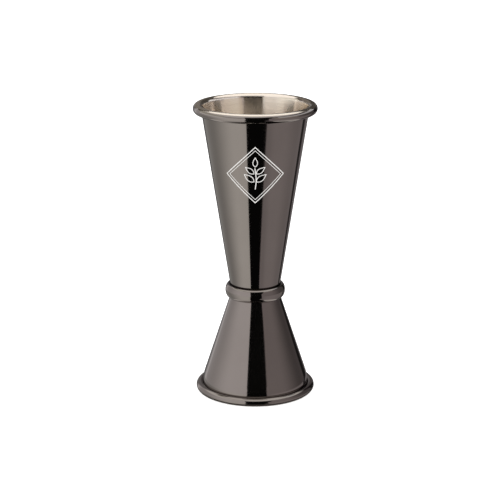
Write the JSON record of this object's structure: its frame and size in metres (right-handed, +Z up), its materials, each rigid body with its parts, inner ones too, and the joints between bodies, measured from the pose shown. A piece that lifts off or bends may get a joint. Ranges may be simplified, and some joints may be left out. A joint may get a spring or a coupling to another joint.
{
  "type": "bar jigger",
  "caption": "Double-ended spirit measure: a tall conical cup above a shorter, wider-flaring cup, joined at a ringed waist, with rolled rims.",
  "frame": {"origin": "on the axis, in the plane of the lower rim that the jigger stands on", "axes": "+Z up along the axis, from the small cup's mouth to the large cup's mouth"},
  "size_m": [0.047, 0.047, 0.113],
  "materials": {
    "dark_plate": "polished dark nickel plating outside, bare spun steel inside the cups",
    "bare_steel": "plain stainless steel"
  },
  "bodies": {
    "root": {"upper_cup": "dark_plate", "lower_cup": "dark_plate", "waist_ring": "dark_plate", "spot_welds": "bare_steel"}
  },
  "joints": []
}
